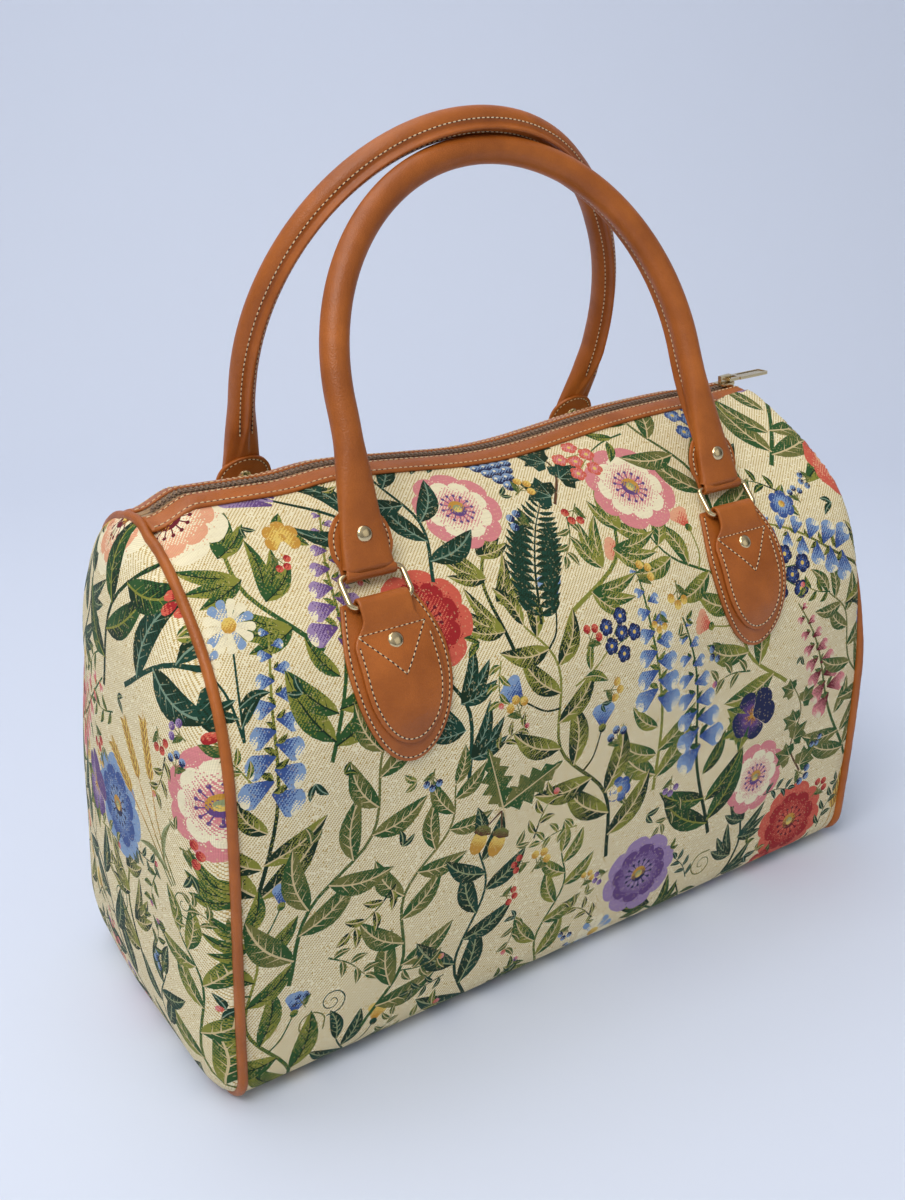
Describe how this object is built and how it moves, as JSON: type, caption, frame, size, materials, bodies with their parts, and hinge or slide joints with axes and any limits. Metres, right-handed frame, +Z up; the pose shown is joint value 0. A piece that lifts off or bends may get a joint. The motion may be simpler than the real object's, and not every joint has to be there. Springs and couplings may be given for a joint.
{
  "type": "carpet bag",
  "caption": "Woven zip-top holdall with rounded shoulders, piped ends, rolled leather-look handles on swinging metal rings, riveted tabs and a zip with a pull.",
  "frame": {"origin": "middle of the flat base", "axes": "+X along the bag towards the end with the zip slider, -Y towards the front, +Z up"},
  "size_m": [0.4712, 0.2192, 0.4618],
  "materials": {
    "tapestry": "woven",
    "tan_leather": "fine grain",
    "lining": "plain weave",
    "board": "matt",
    "zip_tape": "ribbed weave",
    "zip_coil": "satin",
    "gold_metal": "polished pale gold"
  },
  "bodies": {
    "bag": {"main_panel": "tapestry", "left_end_panel": "tapestry", "right_end_panel": "tapestry", "left_piping": "tan_leather", "right_piping": "tan_leather", "lining_wrap": "lining", "left_lining_end": "lining", "right_lining_end": "lining", "base_board": "board", "front_zip_facing": "tan_leather", "rear_zip_facing": "tan_leather", "front_zip_tape": "zip_tape", "rear_zip_tape": "zip_tape", "front_zip_coil": "zip_coil", "rear_zip_coil": "zip_coil", "front_left_tab_base": "tan_leather", "front_right_tab_base": "tan_leather", "rear_left_tab_base": "tan_leather", "rear_right_tab_base": "tan_leather", "front_left_tab_strap": "tan_leather", "front_right_tab_strap": "tan_leather", "rear_left_tab_strap": "tan_leather", "rear_right_tab_strap": "tan_leather", "tab_rivets": "gold_metal"},
    "slider": {"zip_slider": "gold_metal"},
    "pull": {"zip_pull": "gold_metal"},
    "front_ring_l": {"front_left_ring": "gold_metal"},
    "front_ring_r": {"front_right_ring": "gold_metal"},
    "rear_ring_l": {"rear_left_ring": "gold_metal"},
    "rear_ring_r": {"rear_right_ring": "gold_metal"},
    "front_grip": {"front_handle": "tan_leather", "front_handle_rivets": "gold_metal"},
    "rear_grip": {"rear_handle": "tan_leather", "rear_handle_rivets": "gold_metal"}
  },
  "joints": [
    {"name": "zip_run", "type": "hinge", "parent": "bag", "child": "slider", "pos_m": [0, 0, 3.8985], "axis": [0, 1, 0], "range_deg": [0, 5.71]},
    {"name": "pull_swing", "type": "hinge", "parent": "slider", "child": "pull", "pos_m": [0.18916, 0, 0.29561], "axis": [0, -1, 0], "range_deg": [0, 170]},
    {"name": "front_left_ring_swing", "type": "hinge", "parent": "bag", "child": "front_ring_l", "pos_m": [-0.1155, -0.08329, 0.24507], "axis": [1, 0, 0], "range_deg": [0, 70]},
    {"name": "front_right_ring_swing", "type": "hinge", "parent": "bag", "child": "front_ring_r", "pos_m": [0.1155, -0.08329, 0.24507], "axis": [1, 0, 0], "range_deg": [0, 70]},
    {"name": "front_handle_swing", "type": "hinge", "parent": "front_ring_l", "child": "front_grip", "pos_m": [-0.1155, -0.07211, 0.25707], "axis": [1, 0, 0], "range_deg": [0, 100]},
    {"name": "rear_left_ring_swing", "type": "hinge", "parent": "bag", "child": "rear_ring_l", "pos_m": [-0.1155, 0.08329, 0.24507], "axis": [-1, 0, 0], "range_deg": [0, 70]},
    {"name": "rear_right_ring_swing", "type": "hinge", "parent": "bag", "child": "rear_ring_r", "pos_m": [0.1155, 0.08329, 0.24507], "axis": [-1, 0, 0], "range_deg": [0, 70]},
    {"name": "rear_handle_swing", "type": "hinge", "parent": "rear_ring_l", "child": "rear_grip", "pos_m": [-0.1155, 0.07211, 0.25707], "axis": [-1, 0, 0], "range_deg": [0, 100]}
  ],
  "couplings": [
    {"joint": "front_right_ring_swing", "follows": "front_left_ring_swing", "ratio": 1},
    {"joint": "rear_right_ring_swing", "follows": "rear_left_ring_swing", "ratio": 1}
  ]
}
